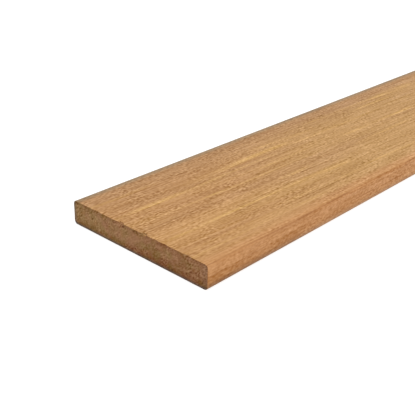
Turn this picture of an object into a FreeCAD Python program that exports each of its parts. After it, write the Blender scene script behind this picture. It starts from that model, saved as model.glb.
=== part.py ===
"""Hardwood decking board: one plank, planed on all four sides, with eased long edges and square-sawn ends.

The board lies flat with its walking face up. Its length runs along X, its width along Y and its
thickness along Z. The origin is in the middle of the underside. Sizes are in millimetres.
"""

import FreeCAD, Part
import math
import os
from enum import IntEnum, auto

import Sketcher
from FreeCAD import Vector

# Driving dimensions
DIMENSIONS = {
    "board_length": 1800.0,
    "board_width": 140.0,
    "board_thickness": 20.0,
    "top_edge_radius": 3.0,
    "bottom_edge_radius": 3.0,
}

# Order of the section's sides and corners round the outline
BOTTOM, BOTTOM_RIGHT, RIGHT, TOP_RIGHT, TOP, TOP_LEFT, LEFT, BOTTOM_LEFT = range(8)


class Point(IntEnum):
    """The two ends of a line or arc, as a sketch numbers them."""

    START = auto()
    END = auto()


# A sketch's origin is the start of its own horizontal axis
ORIGIN = (-1, Point.START)


def make_sheet(doc):
    """Spreadsheet with one named cell for each driving dimension."""
    sheet = doc.addObject("Spreadsheet::Sheet", "Dimensions")
    for row, (name, value) in enumerate(DIMENSIONS.items(), start=1):
        sheet.set(f"A{row}", name)
        sheet.set(f"B{row}", str(value))
        sheet.setAlias(f"B{row}", name)
    doc.recompute()
    return sheet


def origin_plane(body, role):
    """The body's own origin plane of that role."""
    return next(plane for plane in body.Origin.OriginFeatures if plane.Role == role)


def quarter_round(centre, radius, first_degrees):
    """A quarter circle, counter-clockwise from the given angle."""
    circle = Part.Circle(centre, Vector(0, 0, 1), radius)
    first = math.radians(first_degrees)
    return Part.ArcOfCircle(circle, first, first + math.pi / 2)


def draw_section(sketch, sheet):
    """The planed section, counter-clockwise: four flat sides joined by four eased corners."""
    half = sheet.board_width / 2
    thick = sheet.board_thickness
    top_r = sheet.top_edge_radius
    bottom_r = sheet.bottom_edge_radius
    outline = [
        Part.LineSegment(Vector(bottom_r - half, 0), Vector(half - bottom_r, 0)),
        quarter_round(Vector(half - bottom_r, bottom_r), bottom_r, 270),
        Part.LineSegment(Vector(half, bottom_r), Vector(half, thick - top_r)),
        quarter_round(Vector(half - top_r, thick - top_r), top_r, 0),
        Part.LineSegment(Vector(half - top_r, thick), Vector(top_r - half, thick)),
        quarter_round(Vector(top_r - half, thick - top_r), top_r, 90),
        Part.LineSegment(Vector(-half, thick - top_r), Vector(-half, bottom_r)),
        quarter_round(Vector(bottom_r - half, bottom_r), bottom_r, 180),
    ]
    sketch.addGeometry(outline, False)
    for side in range(len(outline)):
        after = (side + 1) % len(outline)
        sketch.addConstraint(Sketcher.Constraint("Tangent", side, Point.END, after, Point.START))


def dimension_section(sketch):
    """Squares the section up, centres its underside and ties its sizes to the spreadsheet."""
    for constraint in (
        Sketcher.Constraint("Horizontal", TOP),
        Sketcher.Constraint("Horizontal", BOTTOM),
        Sketcher.Constraint("Vertical", LEFT),
        Sketcher.Constraint("Vertical", RIGHT),
        Sketcher.Constraint("Symmetric", BOTTOM, Point.START, BOTTOM, Point.END, *ORIGIN),
        Sketcher.Constraint("Equal", TOP_RIGHT, TOP_LEFT),
        Sketcher.Constraint("Equal", BOTTOM_RIGHT, BOTTOM_LEFT),
    ):
        sketch.addConstraint(constraint)
    tie(sketch, "DistanceX", (LEFT, Point.END, RIGHT, Point.START), "board_width")
    tie(sketch, "DistanceY", (BOTTOM, Point.END, TOP, Point.START), "board_thickness")
    tie(sketch, "Radius", (TOP_RIGHT,), "top_edge_radius")
    tie(sketch, "Radius", (BOTTOM_RIGHT,), "bottom_edge_radius")


def tie(sketch, kind, places, dimension):
    """Adds a dimension to the sketch that follows the spreadsheet cell of the same name."""
    index = sketch.addConstraint(Sketcher.Constraint(kind, *places, DIMENSIONS[dimension]))
    sketch.renameConstraint(index, dimension)
    sketch.setExpression(f"Constraints.{dimension}", f"Dimensions.{dimension}")


def make_board(doc, sheet):
    """The plank: its section drawn across the grain and run the whole length, half each way."""
    board = doc.addObject("PartDesign::Body", "DeckingBoard")
    board.Label = "decking_board"
    section = board.newObject("Sketcher::SketchObject", "Section")
    section.AttachmentSupport = [(origin_plane(board, "YZ_Plane"), "")]
    section.MapMode = "FlatFace"
    draw_section(section, sheet)
    dimension_section(section)
    doc.recompute()
    run = board.newObject("PartDesign::Pad", "Run")
    run.Profile = section
    run.SideType = "Symmetric"
    run.setExpression("Length", "Dimensions.board_length")
    doc.recompute()
    return board


def check(doc, pieces):
    """Stops if any feature failed or a piece isn't one valid closed solid."""
    for feature in doc.Objects:
        if {"Invalid", "Error"} & set(feature.State):
            raise RuntimeError(f"{feature.Label} failed: {feature.State}")
    for piece in pieces:
        shape = piece.Shape
        if shape.isNull() or not shape.isValid() or len(shape.Solids) != 1:
            raise RuntimeError(f"{piece.Label} is not one valid solid")


def main():
    doc = FreeCAD.newDocument("decking_board")
    sheet = make_sheet(doc)
    pieces = [make_board(doc, sheet)]
    check(doc, pieces)
    os.makedirs("parts", exist_ok=True)
    for piece in pieces:
        piece.Shape.exportStep(f"parts/{piece.Label}.step")
        print(piece.Label, piece.Shape.BoundBox, "volume", piece.Shape.Volume)


main()
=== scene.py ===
# %% [markdown]
# A hardwood decking board.
# The part is one plank, sawn from a tropical hardwood and planed on all four long sides. It has no joints and
# no fittings, so what there is to see lies in three things: the eased long edges, the sawn ends with their
# small chips, and the wood itself, which is the same wood through and through.
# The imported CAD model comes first. It is the ruler for all that follows, and it is never moved.

# %% Load the frame and keep its box
import math

import bmesh
import bpy
from mathutils import Euler, Matrix, Vector


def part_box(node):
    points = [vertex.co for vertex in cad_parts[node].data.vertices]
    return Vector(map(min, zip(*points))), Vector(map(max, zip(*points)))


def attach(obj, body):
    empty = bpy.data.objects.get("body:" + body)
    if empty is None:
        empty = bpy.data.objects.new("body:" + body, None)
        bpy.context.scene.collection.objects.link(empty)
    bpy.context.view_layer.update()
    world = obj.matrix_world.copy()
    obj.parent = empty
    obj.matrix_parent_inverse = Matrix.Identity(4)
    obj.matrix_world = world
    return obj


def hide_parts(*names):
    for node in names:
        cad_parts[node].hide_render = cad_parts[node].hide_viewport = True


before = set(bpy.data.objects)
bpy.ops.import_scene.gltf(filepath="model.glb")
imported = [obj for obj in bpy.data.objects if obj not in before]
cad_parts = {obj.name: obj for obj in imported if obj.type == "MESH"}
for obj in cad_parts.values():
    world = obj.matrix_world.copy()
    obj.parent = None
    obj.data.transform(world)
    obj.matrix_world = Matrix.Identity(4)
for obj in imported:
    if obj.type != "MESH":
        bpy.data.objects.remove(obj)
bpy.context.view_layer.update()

MM = 0.001

low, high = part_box("decking_board")
size = high - low
middle = (low + high) / 2
print("board measures", [round(side / MM, 1) for side in size], "mm")

# %% [markdown]
# The camera stands close to one end, to the right of the board, and looks down on it by a little over a
# quarter of a right angle. It could be moved by hand until the picture fits. Here its place was worked out
# from the straight edges of the board in the photograph, so it is given as a distance from the near end of
# the plank.

# %% Place the camera
NEAR_END = low.x
CAMERA_FROM_NEAR_END = Vector((-331.5, -371.0, 282.1)) * MM
HEADING = math.radians(42.39)
LOOKING_DOWN = math.radians(26.14)
TILT = math.radians(1.33)
SENSOR_WIDTH = 36.0
LENS = 68.59
CLIP_START = 10 * MM

bpy.ops.object.select_all(action="DESELECT")
bpy.ops.object.camera_add(location=Vector((NEAR_END, 0, 0)) + CAMERA_FROM_NEAR_END)
camera = bpy.context.object
camera.name = "photo_camera"
level_view = Euler((math.pi / 2 - LOOKING_DOWN, 0, HEADING - math.pi / 2)).to_matrix()
camera.rotation_euler = (level_view @ Matrix.Rotation(TILT, 3, "Z")).to_euler()
camera.data.sensor_width = SENSOR_WIDTH
camera.data.lens = LENS
camera.data.clip_start = CLIP_START
bpy.context.scene.camera = camera
print("camera at", [round(c, 3) for c in camera.location])

# %% [markdown]
# A board like this is photographed on white, under light so soft that no shadow shows. A plain white floor
# would still turn grey beside the board, where the board keeps light off it. So the floor reflects little
# and glows by itself instead.

# %% Lay the floor
WHITE = (1, 1, 1, 1)
FLOOR_WIDTH = 40.0
FLOOR_GREY = (0.35, 0.35, 0.35, 1)
FLOOR_ROUGHNESS = 0.9
FLOOR_GLOW = 0.75

bpy.ops.object.select_all(action="DESELECT")
bpy.ops.mesh.primitive_plane_add(size=FLOOR_WIDTH, location=(0, 0, low.z))
floor = bpy.context.object
floor.name = "studio_floor"
floor_paint = bpy.data.materials.new("studio_white")
floor_paint.use_nodes = True
floor_shader = floor_paint.node_tree.nodes["Principled BSDF"]
floor_shader.inputs["Base Color"].default_value = FLOOR_GREY
floor_shader.inputs["Roughness"].default_value = FLOOR_ROUGHNESS
floor_shader.inputs["Specular IOR Level"].default_value = 0.0
floor_shader.inputs["Emission Color"].default_value = WHITE
floor_shader.inputs["Emission Strength"].default_value = FLOOR_GLOW
floor.data.materials.append(floor_paint)
print("floor is", FLOOR_WIDTH, "m wide")

# %% [markdown]
# The light comes from a bright white sky all round and from one wide lamp. The lamp hangs almost overhead, a
# little to the right, so that the top is brightest and the long side comes second. Several small lamps could
# do the same, but each would bring a shadow of its own.

# %% Light the sky and hang the lamp
SKY_STRENGTH = 1.0
LAMP_DIRECTION = Vector((0.00, -0.28, 0.96)).normalized()
LAMP_DISTANCE = 3.2
LAMP_SIZE = (4.5, 2.2)
LAMP_POWER = 57

sky = bpy.data.worlds.new("soft_sky")
sky.use_nodes = True
sky.node_tree.nodes["Background"].inputs["Color"].default_value = WHITE
sky.node_tree.nodes["Background"].inputs["Strength"].default_value = SKY_STRENGTH
bpy.context.scene.world = sky

bpy.ops.object.light_add(type="AREA", location=middle + LAMP_DIRECTION * LAMP_DISTANCE)
lamp = bpy.context.object
lamp.name = "wide_lamp"
lamp.rotation_euler = LAMP_DIRECTION.to_track_quat("Z", "Y").to_euler()
lamp.data.shape = "RECTANGLE"
lamp.data.size, lamp.data.size_y = LAMP_SIZE
lamp.data.energy = LAMP_POWER
bpy.context.scene.view_settings.view_transform = "Standard"
print("lamp", [round(c, 2) for c in lamp.location])

# %% [markdown]
# The plank is a box whose four long edges were rounded by the planer, so it is made the way the mill makes
# it: a block of the right size, then a bevel along the long edges. Drawing the section and running it along
# would do as well, but the block keeps the true size in one plain line.

# %% Cut the block and round its long edges
EDGE_RADIUS = 3 * MM
EDGE_STEPS = 4
ROUND_PROFILE = 0.5
STRAIGHT = 0.999


def pick_edges(wanted):
    """Selects, in edit mode, the edges whose two ends pass a test, and no others."""
    bpy.ops.mesh.select_all(action="DESELECT")
    bpy.ops.mesh.select_mode(type="EDGE")
    mesh = bmesh.from_edit_mesh(board.data)
    picked = [edge for edge in mesh.edges if wanted(*(v.co for v in edge.verts))]
    for edge in picked:
        edge.select_set(True)
    bmesh.update_edit_mesh(board.data)
    return len(picked)


def runs_along(axis, least=0.0):
    """A test for edges that run along one axis and are longer than least."""
    def test(a, b):
        step = b - a
        return abs(step[axis]) > STRAIGHT * step.length and step.length > least
    return test


bpy.ops.object.select_all(action="DESELECT")
bpy.ops.mesh.primitive_cube_add(size=1, location=middle)
board = bpy.context.object
board.name = "hardwood_board"
board.scale = size
bpy.ops.object.transform_apply(location=True, rotation=True, scale=True)
bpy.ops.object.mode_set(mode="EDIT")
rounded = pick_edges(runs_along(0))
bpy.ops.mesh.bevel(offset=EDGE_RADIUS, segments=EDGE_STEPS, profile=ROUND_PROFILE, affect="EDGES")
print("rounded", rounded, "long edges")

# %% [markdown]
# Planed hardwood isn't flat like glass: the softer fibres lie a tenth of a millimetre or so lower. To carry
# that in the mesh, the skin needs cuts, and close ones across the grain, where the ripple is narrow. A
# Subdivision Surface would cut all ways alike and spend most of its faces along the grain, where they do
# nothing. The two ends are opened first, because cutting their outline would otherwise cut the big end
# faces into slivers as well.

# %% Open the ends and cut the skin
FACING = 0.9
FACE_CUTS = 99
SIDE_CUTS = 11
END_STRETCH = 24 * MM
END_CUTS = 15
MIDDLE_CUTS = (72, 2)

bpy.ops.mesh.select_mode(type="FACE")
bpy.ops.mesh.select_all(action="DESELECT")
mesh = bmesh.from_edit_mesh(board.data)
for face in mesh.faces:
    face.select_set(abs(face.normal.x) > FACING)
bmesh.update_edit_mesh(board.data)
bpy.ops.mesh.delete(type="FACE")
pick_edges(runs_along(1, least=size.y / 2))
bpy.ops.mesh.subdivide(number_cuts=FACE_CUTS)
pick_edges(runs_along(2, least=size.z / 2))
bpy.ops.mesh.subdivide(number_cuts=SIDE_CUTS)

for place in (low.x + END_STRETCH, high.x - END_STRETCH):
    bpy.ops.mesh.select_all(action="SELECT")
    bpy.ops.mesh.bisect(plane_co=(place, 0, 0), plane_no=(1, 0, 0))
pick_edges(lambda a, b: END_STRETCH / 2 < abs(b.x - a.x) < END_STRETCH * 2)
bpy.ops.mesh.subdivide(number_cuts=END_CUTS)
for cuts in MIDDLE_CUTS:
    pick_edges(lambda a, b: abs(b.x - a.x) > END_STRETCH / 2)
    bpy.ops.mesh.subdivide(number_cuts=cuts)
print("faces so far", len(bmesh.from_edit_mesh(board.data).faces))

# %% [markdown]
# The saw leaves the ends square, with a rim that is sharp but never a perfect line. One big face would
# close an end too, but the ripple and the chips need points to move, so each end is closed with a grid of
# faces. Its outline gets a bevel of a third of a millimetre, which is enough to catch the light.

# %% Close the ends and ease the sawn rims
RIM = 0.35 * MM
RIM_STEPS = 2
END_ROWS = SIDE_CUTS + 1 + EDGE_STEPS
NEARLY = 1e-6


def in_plane(place):
    """A test for edges that lie in the plane of one end."""
    return lambda a, b: max(abs(a.x - place), abs(b.x - place)) < NEARLY


def on_outline(point):
    """Whether a point of an end lies on the outline of the section."""
    out_y = max(abs(point.y - middle.y) - size.y / 2 + EDGE_RADIUS, 0)
    out_z = max(abs(point.z - middle.z) - size.z / 2 + EDGE_RADIUS, 0)
    at_end = min(point.x - low.x, high.x - point.x) < NEARLY
    return at_end and math.hypot(out_y, out_z) > EDGE_RADIUS - 10 * NEARLY


for place in (low.x, high.x):
    loop = pick_edges(in_plane(place))
    bpy.ops.mesh.fill_grid(span=END_ROWS)
    print("end at", round(place, 3), "closed round a loop of", loop, "edges")
pick_edges(lambda a, b: on_outline(a) and on_outline(b) and abs(a.x - b.x) < NEARLY)
bpy.ops.mesh.bevel(offset=RIM, segments=RIM_STEPS, profile=ROUND_PROFILE, affect="EDGES")
bpy.ops.mesh.select_all(action="SELECT")
bpy.ops.mesh.normals_make_consistent(inside=False)
bpy.ops.object.mode_set(mode="OBJECT")
print("board has", len(board.data.polygons), "faces")

# %% [markdown]
# Now the ripple. A bump in the material could draw it, but the mesh itself would stay flat. A Displace
# modifier pushes each point in along its normal by as much as a cloud texture says. The texture is read
# through an empty that is stretched along the board, so the clouds turn into long fibres. With the middle
# level at one the modifier can only push inward, and the board never outgrows its true size.

# %% Raise the grain
# For each ripple, how long, wide and high its clouds are, and how deep it goes.
RIPPLES = {
    "broad_ripple": ((320 * MM, 9 * MM, 7 * MM), 0.10 * MM),
    "fine_ripple": ((60 * MM, 3 * MM, 3 * MM), 0.07 * MM),
}

for name, (stretch, depth) in RIPPLES.items():
    bpy.ops.object.empty_add(location=low)
    ruler = bpy.context.object
    ruler.scale = stretch
    bpy.context.view_layer.update()
    clouds = bpy.data.textures.new(name, "CLOUDS")
    clouds.noise_scale = 1.0
    clouds.noise_depth = 1
    bpy.ops.object.select_all(action="DESELECT")
    board.select_set(True)
    bpy.context.view_layer.objects.active = board
    bpy.ops.object.modifier_add(type="DISPLACE")
    ripple = board.modifiers[-1]
    ripple.name = name
    ripple.texture = clouds
    ripple.texture_coords = "OBJECT"
    ripple.texture_coords_object = ruler
    ripple.mid_level = 1.0
    ripple.strength = depth
    bpy.ops.object.modifier_apply(modifier=name)
    bpy.data.objects.remove(ruler)
    print(name, "is up to", round(depth / MM, 2), "mm deep")

# %% [markdown]
# Where the saw came out of the wood it tore away a few short fibres. These chips sit on the upper rim of
# the end that faces the camera. The other end was cut with the same saw, so it gets a few of its own. Each
# could be cut out with a Boolean, which would leave a ragged patch of faces. Moving a short stretch of the
# rim inward is enough, and proportional editing lets the tear run out softly.

# %% Chip the upper rims
# For each chip, its place from the middle of the board, then its half width and its depth, in millimetres.
NEAR_CHIPS = {
    43: (1.6, 0.9),
    17: (2.7, 1.3),
    -7.5: (2.1, 1.6),
    -20: (1.4, 0.9),
    -28.5: (1.4, 0.9),
    -50: (1.6, 1.1),
}
FAR_CHIPS = {
    52: (1.6, 0.9),
    26: (2.7, 1.2),
    -11: (1.4, 0.9),
    -38: (2.1, 1.5),
}
CHIP_DROP = 0.6
CHIP_REACH = 2.6 * MM
RIM_ZONE = 1.6 * RIM
SMOOTH_UP_TO = math.radians(35)


def chip(end, centre, half_width, depth):
    """Moves a short stretch of one upper rim into the board and down."""
    bpy.ops.mesh.select_all(action="DESELECT")
    bpy.ops.mesh.select_mode(type="VERT")
    mesh = bmesh.from_edit_mesh(board.data)
    for vert in mesh.verts:
        at_rim = abs(vert.co.x - end) < RIM_ZONE and vert.co.z > high.z - RIM_ZONE
        if at_rim and abs(vert.co.y - centre * MM) < half_width * MM:
            vert.select_set(True)
    mesh.select_flush_mode()
    bmesh.update_edit_mesh(board.data)
    inward = math.copysign(depth * MM, middle.x - end)
    bpy.ops.transform.translate(
        value=(inward, 0, -depth * CHIP_DROP * MM),
        use_proportional_edit=True,
        use_proportional_connected=True,
        proportional_edit_falloff="SHARP",
        proportional_size=CHIP_REACH,
    )


bpy.ops.object.mode_set(mode="EDIT")
for end, chips in ((low.x, NEAR_CHIPS), (high.x, FAR_CHIPS)):
    for centre, (half_width, depth) in chips.items():
        chip(end, centre, half_width, depth)
bpy.ops.object.mode_set(mode="OBJECT")
bpy.ops.object.shade_smooth_by_angle(angle=SMOOTH_UP_TO)
print("chips", len(NEAR_CHIPS), "near and", len(FAR_CHIPS), "far")

# %% [markdown]
# For a file that other programs can open, the finish can be painted into a square picture, so every face
# needs a place in that square. A long board would come out blurred across the grain if it kept its
# proportions there. Each of the four long sides therefore gets a strip of its own as wide as the square, and
# the two ends share what is left.

# %% Give each side its place in the picture
# For the sides that face up and down, left and right, near and far: left, right, foot and head of the strip.
STRIPS = {
    ("z", True): (0.004, 0.996, 0.004, 0.344),
    ("z", False): (0.004, 0.996, 0.352, 0.692),
    ("y", True): (0.004, 0.996, 0.700, 0.755),
    ("y", False): (0.004, 0.996, 0.763, 0.818),
    ("x", False): (0.010, 0.490, 0.830, 0.990),
    ("x", True): (0.510, 0.990, 0.830, 0.990),
}
PLANES = {"x": (1, 2), "y": (0, 2), "z": (0, 1)}

picture = board.data.uv_layers.new(name="OFBake")
for face in board.data.polygons:
    steepness = [abs(c) for c in face.normal]
    axis = steepness.index(max(steepness))
    left, right, foot, head = STRIPS["xyz"[axis], face.normal[axis] > 0]
    plane = PLANES["xyz"[axis]]
    for corner in face.loop_indices:
        point = board.data.vertices[board.data.loops[corner].vertex_index].co
        share = [(point[i] - low[i]) / size[i] for i in plane]
        picture.data[corner].uv = (left + (right - left) * share[0], foot + (head - foot) * share[1])
print("placed", len(board.data.polygons), "faces in", len(STRIPS), "strips")

# %% [markdown]
# Wood is not a skin. The same fibres that show as long streaks on the face show as dots and rings on the
# sawn end, because the saw cut them across. So the finish is one solid block of pattern, read at the place
# of each point of the board, and the faces simply cut through it. That takes a fair amount of arithmetic on
# shader sockets, and a small class that lets plain Python operators do it keeps the recipe readable.

# %% A class for shader arithmetic
class Value:
    """A number that changes over the surface: a shader socket that Python's operators work on."""

    def __init__(self, finish, socket):
        self.finish = finish
        self.socket = socket

    def __add__(self, other):
        return self.finish.math("ADD", self, other)

    def __sub__(self, other):
        return self.finish.math("SUBTRACT", self, other)

    def __rsub__(self, other):
        return self.finish.math("SUBTRACT", other, self)

    def __mul__(self, other):
        return self.finish.math("MULTIPLY", self, other)

    def __truediv__(self, other):
        return self.finish.math("DIVIDE", self, other)

    def __rpow__(self, other):
        return self.finish.math("POWER", other, self)

    def __abs__(self):
        return self.finish.math("ABSOLUTE", self)

    __radd__ = __add__


print("made a class for a", Value.__name__.lower(), "that changes over the surface")

# %% [markdown]
# A second class stands for the material. Its nodes could be added and linked by hand in the editor, but
# there will be hundreds of them. A few short methods put each kind down in one line: a noise, a soft step,
# a bell curve, a mix of two colours.

# %% A class for a finish
class Finish:
    """A material that is being put together, node by node."""

    def __init__(self, name):
        self.material = bpy.data.materials.new(name)
        self.material.use_nodes = True
        self.tree = self.material.node_tree
        self.tree.nodes.clear()

    def node(self, kind, settings=(), sockets=()):
        """Adds a node, sets it up, then fills or links its sockets, and returns it."""
        node = self.tree.nodes.new(kind)
        for name, setting in dict(settings).items():
            setattr(node, name, setting)
        for name, given in dict(sockets).items():
            given = getattr(given, "socket", given)
            if isinstance(given, bpy.types.NodeSocket):
                self.tree.links.new(given, node.inputs[name])
            else:
                node.inputs[name].default_value = given
        return node

    def value(self, node, output=0):
        """One output of a node, as a number to reckon with."""
        return Value(self, node.outputs[output])

    def math(self, operation, *numbers):
        """The result of a Math node."""
        return self.value(self.node("ShaderNodeMath", {"operation": operation}, enumerate(numbers)))

    def vector(self, x, y, z):
        """Three numbers as one vector."""
        return self.node("ShaderNodeCombineXYZ", (), {"X": x, "Y": y, "Z": z}).outputs[0]

    def noise(self, vector, detail=0.0):
        """Soft noise from about -0.5 to 0.5, one unit of the vector from lump to lump."""
        sockets = {"Vector": vector, "Scale": 1.0, "Detail": detail, "Roughness": 0.5}
        return self.value(self.node("ShaderNodeTexNoise", (), sockets)) - 0.5

    def step(self, value, first, last, start=0.0, end=1.0):
        """Stays at start until the value reaches first, then goes smoothly to end, reached at last."""
        sockets = {"Value": value, "From Min": first, "From Max": last, "To Min": start, "To Max": end}
        return self.value(self.node("ShaderNodeMapRange", {"interpolation_type": "SMOOTHSTEP"}, sockets))

    def zone(self, value, start, full, fading, gone):
        """1 where the value lies between full and fading, and 0 before start and after gone."""
        return self.step(value, start, full) * self.step(value, gone, fading)

    def bell(self, value):
        """A soft hump: 1 where the value is 0, and next to nothing from 2 on."""
        return math.e ** (0 - value * value)

    def mix(self, factor, first, second):
        """One colour shading into another."""
        sockets = {"Factor": factor, 6: first, 7: second}
        return self.node("ShaderNodeMix", {"data_type": "RGBA"}, sockets).outputs[2]

    def shade(self, colour, by, amount):
        """A colour with so much of a second one added, or taken away where the amount is negative."""
        sockets = {0: by, 1: amount, 2: colour}
        return self.node("ShaderNodeVectorMath", {"operation": "MULTIPLY_ADD"}, sockets).outputs[0]


wood = Finish("oiled_hardwood")
print("started", wood.material.name)

# %% [markdown]
# Every mark has a place on the board, so the finish needs to know where a point lies: how far along from
# the near end, how far in from either side, and how far below the walking face, all in millimetres. The
# board lies unturned at the origin, so its Object coordinates give that directly.

# %% Measure from the board's own faces
HALF_WIDTH = size.y / 2 / MM
THICKNESS = size.z / MM

place = wood.node("ShaderNodeTexCoord").outputs["Object"]
in_mm = wood.node("ShaderNodeVectorMath", {"operation": "SCALE"}, {0: place, "Scale": 1 / MM}).outputs[0]
split = wood.node("ShaderNodeSeparateXYZ", (), {0: in_mm})
along = wood.value(split, 0) - NEAR_END / MM
across = wood.value(split, 1)
up = wood.value(split, 2)

from_left = HALF_WIDTH - across
from_right = across + HALF_WIDTH
from_side = HALF_WIDTH - abs(across)
down = THICKNESS - up
print("finish measured on", round(HALF_WIDTH * 2), "by", round(THICKNESS), "mm of section")

# %% [markdown]
# Fibres don't run quite true to a sawn board. Here they drift across it by three millimetres in a hundred
# and wander a little on the way. Each pattern could be bent by itself, but bending the coordinates once,
# before any pattern reads them, makes every streak, pore and growth line follow the same fibres.

# %% Follow the fibres
FIBRE_SLOPE = 0.03
FIBRE_RISE = 0.012
WANDER = 7.0


def bend(length, width, seed):
    """How far the fibres stray from their straight run, in bends about that long and wide, in millimetres."""
    return wood.noise(wood.vector(along / length + seed, across / width, up / width), detail=1.0) * WANDER


fibre_y = across + along * FIBRE_SLOPE + bend(length=240, width=50, seed=0)
fibre_z = up + along * FIBRE_RISE + bend(length=200, width=40, seed=7)


def grain(length, width, seed, detail=0.0):
    """Noise drawn out along the fibres: marks about that long and that wide, in millimetres."""
    return wood.noise(wood.vector(along / length + seed, fibre_y / width, fibre_z / width), detail)


print("fibres drift", round(FIBRE_SLOPE * size.x / MM), "mm over the length")

# %% [markdown]
# Seen close, the face is made of several sizes of mark. Broad bands and ribbons come from seasons of growth
# and from the way the trunk twisted. Threads and lines, one or two millimetres wide, are rows of fibre.
# Over all of it lie short specks, the open ends and walls of the pores, which gather in some places and
# thin out in others. Each is the same noise, stretched differently, and the fine ones add up to the tone of
# the grain.

# %% Bands, lines and specks
SPECK_TONE = 0.78
LINE_TONE = 0.40
THREAD_TONE = 0.20
SPECKS_EVERYWHERE = 0.95
SPECKS_GATHERED = 1.8

bands = grain(length=600, width=22, seed=1.3, detail=2.0)
ribbons = grain(length=260, width=7.0, seed=5.1, detail=2.0)
threads = grain(length=260, width=2.4, seed=9.7, detail=1.0)
lines = grain(length=60, width=1.5, seed=17.9)
specks = grain(length=2.9, width=1.35, seed=14.2)
gathering = SPECKS_EVERYWHERE + grain(length=18, width=8, seed=71.0) * SPECKS_GATHERED
tone = specks * gathering * SPECK_TONE + lines * LINE_TONE + threads * THREAD_TONE
print("grain takes", len(wood.tree.nodes), "nodes so far")

# %% [markdown]
# On the walking face some streaks catch the eye: golden ones, where a band of paler fibre comes to the
# surface, and thin dark ones beside them. They have definite places, so each one is written down. Painting
# them on a picture would do, but a picture would be sharp at one size only.

# %% Write down the streaks
# For each streak, in millimetres: where it starts and stops along the board, how far left of the middle line
# it lies, its slope, its width and, as a share, its strength.
GOLDEN_STREAKS = {
    "golden by the left": (20, 78, 22.2, -0.012, 2.4, 0.9),
    "its thin ends": (-10, 185, 22.2, -0.011, 1.6, 0.4),
    "by the left corner": (-10, 62, 48.6, 0.000, 2.0, 0.4),
    "wide golden": (122, 214, 31.2, -0.008, 2.8, 0.9),
    "above it": (178, 250, 51.0, -0.065, 1.8, 0.6),
    "left of the middle": (215, 350, 26.8, -0.011, 1.8, 0.5),
    "fine golden in the middle": (80, 146, 5.0, -0.040, 1.1, 0.75),
    "its thin ends in the middle": (40, 215, 5.0, -0.040, 1.0, 0.35),
    "golden by the right": (10, 128, -26.5, -0.026, 1.6, 0.9),
    "broad and pale by the near end": (-10, 34, 2.0, 0.000, 9.0, 0.3),
    "broad and pale on the left": (78, 122, 22.0, 0.000, 8.0, 0.3),
    "further on": (138, 222, -24.2, -0.047, 2.0, 1.0),
    "short golden": (144, 182, -16.8, 0.000, 1.5, 0.8),
    "short golden beside it": (150, 225, 8.4, 0.000, 1.3, 0.5),
    "far golden": (268, 392, 9.2, -0.018, 1.8, 1.0),
    "far golden on the right": (262, 352, -14.5, -0.005, 1.4, 0.6),
    "beside the dark line": (112, 215, -42.2, -0.042, 1.2, 0.4),
    "beside its far end": (225, 300, -39.0, -0.042, 1.2, 0.7),
    "pale by the right edge": (-10, 150, -55.6, -0.012, 1.6, 0.4),
    "far left golden": (380, 460, 50.0, -0.010, 5.0, 0.6),
    "far upper golden": (335, 405, 38.5, -0.004, 2.0, 0.7),
    "far faint on the left": (265, 400, 52.2, -0.018, 1.4, 0.5),
}
DARK_STREAKS = {
    "dark line on the right": (104, 262, -45.3, -0.041, 0.8, 0.9),
    "under the middle": (45, 150, -0.4, -0.018, 0.8, 0.5),
    "above the middle": (78, 108, 8.8, 0.000, 0.9, 0.5),
    "under the wide golden": (112, 218, 27.9, -0.020, 0.9, 0.45),
    "above the wide golden": (148, 222, 45.4, -0.058, 0.9, 0.6),
    "above the golden on the right": (75, 182, -22.0, -0.036, 0.8, 0.5),
    "short and dark": (108, 146, -12.8, 0.000, 0.8, 0.6),
    "broad and dull on the right": (50, 230, -38.0, -0.030, 8.0, 0.3),
    "broad and dull on the left": (205, 420, 44.0, -0.010, 9.0, 0.28),
    "dark by the left": (40, 78, 30.0, 0.000, 1.0, 0.4),
    "far dark on the left": (295, 405, 66.7, -0.046, 1.2, 0.6),
    "far dark": (300, 400, 33.7, 0.000, 1.2, 0.5),
    "far dark on the right": (262, 345, -8.3, -0.011, 1.0, 0.5),
}
print("streaks written down:", len(GOLDEN_STREAKS), "golden and", len(DARK_STREAKS), "dark")

# %% [markdown]
# A streak is strongest along its own line and fades to both sides, which a bell curve gives. It also fades
# in and out at its ends. Paler fibre comes and goes, so the golden streaks are broken up by a fine noise.
# Beyond the half metre that they fill, another noise places more of the kind.

# %% Draw the streaks
FADE_IN = 14
FADE_OUT = 18
DEPTH_OF_STREAKS = (8, 2)
NOISE_TAKES_OVER = (440, 560)
NOISE_STREAKS = (0.10, 0.24)
NOISE_STRENGTH = 0.8
BREAKS = (-0.20, 0.12)
LEFT_IN_BREAKS = 0.15


def streak(first, last, offset, slope, width, strength):
    """A soft band along the board, fading in and out at its two ends."""
    off = (across - along * slope - offset) / width
    run = wood.zone(along, first - FADE_IN, first + FADE_IN, last - FADE_OUT, last + FADE_OUT)
    return wood.bell(off) * run * strength


walking_face = wood.step(down, *DEPTH_OF_STREAKS)
golden = sum(streak(*figures) for figures in GOLDEN_STREAKS.values()) * walking_face
dark = sum(streak(*figures) for figures in DARK_STREAKS.values()) * walking_face
further_on = wood.step(along, *NOISE_TAKES_OVER)
more_golden = wood.step(grain(length=330, width=6.0, seed=33.0), *NOISE_STREAKS) * further_on
breaks = wood.step(grain(length=48, width=1.3, seed=31.0), *BREAKS, start=LEFT_IN_BREAKS)
golden = (golden + more_golden * NOISE_STRENGTH) * breaks
print("streaks bring the finish to", len(wood.tree.nodes), "nodes")

# %% [markdown]
# Now the colours of the face. Tan and brown follow the bands, and honey takes over further along. One colour
# ramp could hold them all, but one mix after another lets each colour keep a place of its own.

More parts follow.
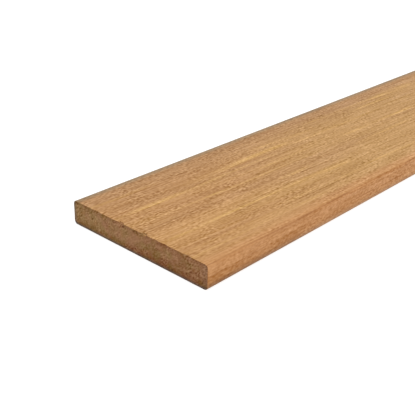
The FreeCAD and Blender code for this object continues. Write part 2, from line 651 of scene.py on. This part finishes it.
# %% Mix tan, brown and honey
TAN = (0.420, 0.221, 0.076, 1)
BROWN = (0.363, 0.181, 0.0625, 1)
HONEY = (0.386, 0.216, 0.069, 1)
TAN_BANDS = (-0.22, 0.22)
HONEY_FURTHER = (30, 260)
HONEY_WAVES = 300
HONEY_SHARE = 0.65

tan_bands = wood.step(bands + ribbons, *TAN_BANDS)
honey_further = wood.step(along + bands * HONEY_WAVES, *HONEY_FURTHER)
colour = wood.mix(tan_bands, BROWN, TAN)
colour = wood.mix(honey_further * HONEY_SHARE, colour, HONEY)
print("honey takes over from", HONEY_FURTHER[0], "to", HONEY_FURTHER[1], "mm along the board")

# %% [markdown]
# The left of the board is rosier and duller, and the right edge redder, with a few dark red lines in it.
# A straight border between such colours would look painted on, so the ribbons of the grain shift it to and
# fro. The golden streaks go on before the red lines, which stay unbroken that way.

# %% Add rose, red and gold
ROSE = (0.329, 0.168, 0.066, 1)
RED = (0.434, 0.211, 0.077, 1)
GOLD = (0.522, 0.301, 0.097, 1)
DARK_RED = (0.250, 0.095, 0.024, 1)
ROSY_PATCHES = (0.0, 0.3)
ROSY_PATCH_SHARE = 0.4
ROSY_LEFT = (42, 4)
ROSY_LEFT_WAVES = 40
ROSY_LEFT_SHARE = 0.85
RED_EDGE = (13, 3)
RED_EDGE_WAVES = 14
RED_EDGE_SHARE = 0.75
RED_LINES = (0.05, 0.20)
RED_LINE_SHARE = 0.45

rosy_patches = wood.step(grain(length=120, width=15, seed=41.0), *ROSY_PATCHES)
rosy_left = wood.step(from_left - ribbons * ROSY_LEFT_WAVES, *ROSY_LEFT)
red_edge = wood.step(from_right + ribbons * RED_EDGE_WAVES, *RED_EDGE)
red_lines = wood.step(grain(length=190, width=1.1, seed=51.0), *RED_LINES) * red_edge

colour = wood.mix(rosy_patches * ROSY_PATCH_SHARE, colour, ROSE)
colour = wood.mix(rosy_left * ROSY_LEFT_SHARE, colour, ROSE)
colour = wood.mix(red_edge * RED_EDGE_SHARE, colour, RED)
colour = wood.mix(golden, colour, GOLD)
colour = wood.mix(red_lines * RED_LINE_SHARE, colour, DARK_RED)
print("rosy as far as", ROSY_LEFT[0], "mm from the left, red as far as", RED_EDGE[0], "mm from the right")

# %% [markdown]
# A dark fibre isn't just a dimmer tan: it loses proportionally more blue and green than red. Multiplying
# the colour would miss that. So the tone of the grain adds or takes away a fixed brown instead. Along the
# right of the board the fibres lie closer, and the grain is calmer there.

# %% Lay the grain over the colours
FIBRE_BROWN = (0.44, 0.30, 0.175)
DARK_STREAK_TONE = 0.2
CALM_STRIP = (45, 15)
CALM_STRIP_SLOPE = 0.15
CALM_TONE = 0.58

calm = wood.step(from_right + along * CALM_STRIP_SLOPE, *CALM_STRIP, start=1.0, end=CALM_TONE)
colour = wood.shade(colour, FIBRE_BROWN, tone * calm - dark * DARK_STREAK_TONE)
print("grain laid over the colours, with", round(CALM_TONE * 100), "per cent of its strength on the right")

# %% [markdown]
# The two long sides are a browner cut of the same wood. The grain shows a little more there, and by the
# near end painted shading makes the side lighter towards its top and darker towards its foot. A second
# material could do it, but its border would be a hard line along the round edge, where the real change is
# gradual.

# %% Brown the long sides and paint shading on them
SIDE_BROWN = (0.404, 0.170, 0.050, 1)
SIDE_SHARE = 0.5
SIDE_STARTS = (1.4, 0.4)
SIDE_LINES = 0.18
SIDE_THREADS = 0.10
SIDE_SPECKS = 0.36
DARKER_BELOW = 12
DARKER_PER_MM = 0.03
DARKER_UNTIL = (140, 60)

long_side = wood.step(from_side, *SIDE_STARTS)
# Painted shading: by the near end the side is lighter above DARKER_BELOW mm and darker towards its foot.
painted_side_shading = (up - DARKER_BELOW) * wood.step(along, *DARKER_UNTIL) * DARKER_PER_MM
side_tone = painted_side_shading + lines * SIDE_LINES + threads * SIDE_THREADS + specks * SIDE_SPECKS
colour = wood.mix(long_side * SIDE_SHARE, colour, SIDE_BROWN)
colour = wood.shade(colour, FIBRE_BROWN, long_side * side_tone)
print("long sides browned from", SIDE_STARTS[0], "mm of their planes")

# %% [markdown]
# Under the right edge runs a dark red line, where a layer of denser wood comes out on the round. It wanders
# a little, breaks here and there, and climbs towards the near corner. Real relief isn't needed for it, since
# it is only a change of colour. A bell curve round the depth of the line draws it softly on both sides.

# %% Draw the dark line under the right edge
LINE_DEPTH = 1.35
LINE_DEPTH_AT_CORNER = 0.75
LINE_CLIMBS = (60, 25)
LINE_WANDER = 1.4
LINE_THICKNESS = 0.5
LINE_STRENGTH = 0.85
LINE_STRENGTHENS = (40, 130)
FAINT_AT_CORNER = 0.28
LINE_BREAKS = (-0.14, 0.10)
LEFT_IN_LINE_BREAKS = 0.35
RIGHT_ROUND = (4.0, 2.0)
LINE_TOP = (0.15, 0.5)

line_depth = wood.step(along, *LINE_CLIMBS, start=LINE_DEPTH, end=LINE_DEPTH_AT_CORNER)
off_line = (down - grain(length=90, width=30, seed=61.0) * LINE_WANDER - line_depth) / LINE_THICKNESS
line_breaks = wood.step(grain(length=34, width=5, seed=63.0), *LINE_BREAKS, start=LEFT_IN_LINE_BREAKS)
line_run = wood.step(along, *LINE_STRENGTHENS, start=FAINT_AT_CORNER) * line_breaks
on_round = wood.step(from_right, *RIGHT_ROUND) * wood.step(down, *LINE_TOP)
edge_line = wood.bell(off_line) * line_run * on_round * LINE_STRENGTH
print("dark line", LINE_DEPTH, "mm below the face, and", LINE_DEPTH_AT_CORNER, "mm at the corner")

# %% [markdown]
# Below the line, the same dense layer reddens the upper part of the side for a hand's width from the near
# corner. Two zones with soft borders do that: a shallow one right at the corner and a deeper one after it.
# The line and the two zones share one dark red, so they go on together.

# %% Redden the wood below the line
RIGHT_SKIN = (2.0, 1.1)
CORNER_DEPTHS = (0.25, 0.65, 1.6, 3.8)
CORNER_STRETCH = (50, 25)
RED_DEPTHS = (0.4, 1.0, 2.8, 5.0)
RED_STRETCH = (25, 50, 90, 130)
REDDISH = 0.27

by_corner = wood.zone(down, *CORNER_DEPTHS) * wood.step(along, *CORNER_STRETCH)
further_along = wood.zone(down, *RED_DEPTHS) * wood.zone(along, *RED_STRETCH)
reddish = (by_corner + further_along) * wood.step(from_right, *RIGHT_SKIN) * REDDISH
colour = wood.mix(edge_line + reddish, colour, DARK_RED)
print("reddish as far as", RED_STRETCH[-1], "mm from the near end")

# %% [markdown]
# The foot of the sides is painted darker, as painted shade from the ground, and the round of the left edge,
# which faces away from the lamp, is painted grey as painted shade. A little grey and brown mixed in is all it
# takes.

# %% Paint shade on the foot and on the left edge
FOOT_SHADE_BROWN = (0.170, 0.118, 0.078, 1)
LEFT_EDGE_SHADE_GREY = (0.165, 0.150, 0.098, 1)
FOOT = (7, 1.5)
FOOT_SHADE_SHARE = 0.42
FOOT_SHADE_FADES = (20, 300)
FOOT_SHADE_FURTHER = 0.6
LEFT_EDGE = (9.5, 3.4)
LEFT_EDGE_DEPTH = (1.5, 0.6)
LEFT_EDGE_SHADE_SHARE = 0.5
LEFT_EDGE_SHADE_FADES = (450, 800)
LEFT_EDGE_SHADE_FURTHER = 0.3

# Painted shade along the foot of the long sides, strongest by the near end.
painted_foot_shade = long_side * wood.step(up, *FOOT)
painted_foot_shade = painted_foot_shade * wood.step(along, *FOOT_SHADE_FADES, start=1.0, end=FOOT_SHADE_FURTHER)
# Painted shade: the round of the left edge turns grey, less so further along the board.
painted_left_edge_shade = wood.step(from_left, *LEFT_EDGE) * wood.step(down, *LEFT_EDGE_DEPTH)
painted_left_edge_shade = painted_left_edge_shade * wood.step(along, *LEFT_EDGE_SHADE_FADES, start=1.0, end=LEFT_EDGE_SHADE_FURTHER)
colour = wood.mix(painted_foot_shade * FOOT_SHADE_SHARE, colour, FOOT_SHADE_BROWN)
colour = wood.mix(painted_left_edge_shade * LEFT_EDGE_SHADE_SHARE, colour, LEFT_EDGE_SHADE_GREY)
print("foot rubbed", FOOT[0], "mm up, left edge greyed")

# %% [markdown]
# On the sawn end the fibres are cut across. Light sinks into the open pores there, so end grain is much
# darker than face grain. Growth rings show as faint lines that slant through the section. Straight lines
# would nearly do for so small a piece of a trunk, but these are drawn round its heart, which lay below the
# board and to its right, so that they bend as they should.

# %% Draw the growth rings
RING_CENTRE = (-80, -150)
RING_WIDTH = 2.2
RING_LENGTH = 12
ALONG_RINGS = (0.85, -0.50)
RING_SLICE = 0.5

from_pith = wood.vector(0, fibre_y - RING_CENTRE[0], fibre_z - RING_CENTRE[1])
ring = wood.value(wood.node("ShaderNodeVectorMath", {"operation": "LENGTH"}, {0: from_pith}), "Value")
along_ring = fibre_y * ALONG_RINGS[0] + fibre_z * ALONG_RINGS[1]
growth = wood.noise(wood.vector(ring / RING_WIDTH, along_ring / RING_LENGTH, RING_SLICE), detail=1.0)
print("rings about", RING_WIDTH, "mm wide")

# %% [markdown]
# The saw left fine slanted marks of its own. In some fields it tore the fibres and in others it cut them
# clean, so the rings and marks are strong in one place and faint in the next. The same noise on both ends
# would make twins of them. So it also changes along the board, slowly enough to be one pattern on each end.

# %% Saw marks and torn fields
SAW_SLANT = (0.64, 0.77)
SAW_MARK = (1.15, 2.2)
SAW_SEED = 8.8
SAW_TONE = 1.15
RING_TONE = 0.85
MOTTLE_TONE = 0.35
RUST_TONE = 0.3
TORN_FIELDS = (-0.12, 0.18)
CUT_CLEAN = 0.45
TORN = 1.25
RIGHT_CORNER = (22, 6)
MORE_TORN_THERE = 0.25
ENDS_APART = 400

over_marks = across * SAW_SLANT[0] + up * SAW_SLANT[1]
along_marks = up * SAW_SLANT[0] - across * SAW_SLANT[1]
saw_place = along / ENDS_APART + SAW_SEED
saw_marks = wood.noise(wood.vector(saw_place, over_marks / SAW_MARK[0], along_marks / SAW_MARK[1]))


def patches(width, height, seed, detail):
    """Noise over the sawn ends, in patches about that wide and high, and other ones on each end."""
    return wood.noise(wood.vector(along / ENDS_APART + seed, across / width, up / height), detail)


mottle = patches(width=9, height=8, seed=3.3, detail=1.5)
rusty = patches(width=6, height=5, seed=6.1, detail=1.0)
tearing = patches(width=7, height=10, seed=12.7, detail=1.0)
torn = wood.step(tearing, *TORN_FIELDS, start=CUT_CLEAN, end=TORN)
torn = torn + wood.step(from_right, *RIGHT_CORNER) * MORE_TORN_THERE
marks = (growth * RING_TONE + saw_marks * SAW_TONE) * torn + mottle * MOTTLE_TONE - rusty * RUST_TONE
print("end grain takes the finish to", len(wood.tree.nodes), "nodes")

# %% [markdown]
# The end goes from olive to mauve with spots of rust, where heartwood of different ages meets. One even brown
# would look like plastic. The noises that set the tone of the end steer its colours too, so that a rusty
# spot is also a darker one.

# %% Colour the sawn end
OLIVE = (0.209, 0.110, 0.0322, 1)
MAUVE = (0.221, 0.0975, 0.0375, 1)
RUST = (0.248, 0.112, 0.032, 1)
MAUVE_PATCHES = (-0.17, 0.17)
MAUVER_TO_THE_RIGHT = 1 / 450
RUST_SPOTS = (0.04, 0.22)
RUST_SHARE = 0.5

mauve_patches = wood.step(mottle - across * MAUVER_TO_THE_RIGHT, *MAUVE_PATCHES)
rust_spots = wood.step(rusty, *RUST_SPOTS)
end_colour = wood.mix(mauve_patches, OLIVE, MAUVE)
end_colour = wood.mix(rust_spots * RUST_SHARE, end_colour, RUST)
print("end colours mixed, with rust at", round(RUST_SHARE * 100), "per cent in its spots")

# %% [markdown]
# The foot of the end is painted darker all the way, most of all on the left: painted shade from the ground.
# The middle is darker to over half its height. The left half is a little paler, and a painted shadow darkens
# a strip under the upper rim. Each could be mixed in as a colour, but as zones with soft borders they add
# up to one tone for the end, and the marks of the saw stay as clear as they were.

# %% Paint shade on the foot and under the rim, and darken the middle
END_BROWN = (0.216, 0.148, 0.088)
END_FOOT_SHADE = (8.5, 0.5)
END_FOOT_SHADE_TONE = 0.34
MORE_FOOT_SHADE_LEFT = 1 / 800
DARK_MIDDLE = (-38, -24, 5, 14)
DARK_MIDDLE_HEIGHT = (12, 6)
DARK_MIDDLE_TONE = 0.14
UNDER_RIM = (4.5, 1.5)
UNDER_RIM_SHADOW_TONE = 0.16
PALER_LEFT = (-22, -4)
PALER_LEFT_TONE = 0.12
DARKER_OVERALL = 0.04

# Painted shade: the foot of the end is darker, more so on the left.
painted_end_foot_shade = wood.step(up, *END_FOOT_SHADE) * (END_FOOT_SHADE_TONE + across * MORE_FOOT_SHADE_LEFT)
# The middle of the end is darker up to over half its height.
darker_middle = wood.step(up, *DARK_MIDDLE_HEIGHT) * wood.zone(across, *DARK_MIDDLE) * DARK_MIDDLE_TONE
# Painted shadow in a strip under the upper rim of the end.
painted_shadow_under_rim = wood.step(down, *UNDER_RIM) * UNDER_RIM_SHADOW_TONE
paler_left = wood.step(across, *PALER_LEFT) * PALER_LEFT_TONE
end_tone = marks + paler_left - painted_end_foot_shade - darker_middle - painted_shadow_under_rim - DARKER_OVERALL
end_colour = wood.shade(end_colour, END_BROWN, end_tone)
print("damp drawn up to", DARK_MIDDLE_HEIGHT[0], "mm")

# %% [markdown]
# A painted shade darkens the outer rim of the end, most of all along the foot, where the end meets the
# ground.
# It covers the wood, marks and all. A darker tone would let them show through, so the painted shade is mixed
# in as a colour of its own.

# %% Paint shade round the rim of the end
RIM_SHADE_COLOUR = (0.070, 0.052, 0.041, 1)
RIM_SHADE_LEFT = (4.5, 0.8)
RIM_SHADE_LEFT_SHARE = 0.5
RIM_SHADE_RIGHT = (8, 1)
RIM_SHADE_RIGHT_SHARE = 0.18
RIM_SHADE_FOOT = (3.0, 0.8)
RIM_SHADE_FOOT_SHARE = 0.7

# Painted shade round the outer rim of the end, strongest along the foot as a painted contact shadow.
shaded = wood.step(from_left, *RIM_SHADE_LEFT) * RIM_SHADE_LEFT_SHARE
shaded = shaded + wood.step(from_right, *RIM_SHADE_RIGHT) * RIM_SHADE_RIGHT_SHARE
shaded = shaded + wood.step(up, *RIM_SHADE_FOOT) * RIM_SHADE_FOOT_SHARE
end_colour = wood.mix(shaded, end_colour, RIM_SHADE_COLOUR)
print("rim soiled up to", RIM_SHADE_FOOT[0], "mm above the foot")

# %% [markdown]
# The end's colour is laid over the long grain only where the surface faces the end. Faces could be given a
# second material by hand, but the normal tells it as well, and the chips then show long grain where they
# slope.

# %% Lay the end grain on the ends
FACES_END = (0.35, 0.65)
BELOW_RIM = (0.1, 0.5)

normal = wood.node("ShaderNodeSeparateXYZ", (), {0: wood.node("ShaderNodeNewGeometry").outputs["Normal"]})
sawn = wood.step(abs(wood.value(normal, 0)), *FACES_END) * wood.step(down, *BELOW_RIM)
colour = wood.mix(sawn, colour, end_colour)
print("end grain laid on where the normal leans at least", FACES_END[0], "towards an end")

# %% [markdown]
# The finish is an oil that has soaked in, so the surface is matt, a little more so on the open end grain. A
# coat of varnish would need a second, glossy layer, and this board has none. A faint bump repeats the
# specks and lines that are too fine for the mesh.

# %% Put the finish together
BUMP_DEPTH = 0.10 * MM
BUMP_STRENGTH = 0.5
MATT = 0.62
MATTER_ON_ENDS = 0.15
GLOSS_OF_LINES = 0.2
SHEEN = 0.25

bump = wood.node("ShaderNodeBump", (), {"Strength": BUMP_STRENGTH, "Distance": BUMP_DEPTH, "Height": tone})
shader = wood.node(
    "ShaderNodeBsdfPrincipled",
    (),
    {
        "Base Color": colour,
        "Roughness": MATT + sawn * MATTER_ON_ENDS - lines * GLOSS_OF_LINES,
        "Normal": bump.outputs[0],
        "Specular IOR Level": SHEEN,
    },
)
wood.node("ShaderNodeOutputMaterial", (), {"Surface": shader.outputs[0]})
board.data.materials.append(wood.material)
print("finish has", len(wood.tree.nodes), "nodes")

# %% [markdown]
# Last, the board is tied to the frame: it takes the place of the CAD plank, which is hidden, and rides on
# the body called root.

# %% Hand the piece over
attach(board, "root")
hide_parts("decking_board")
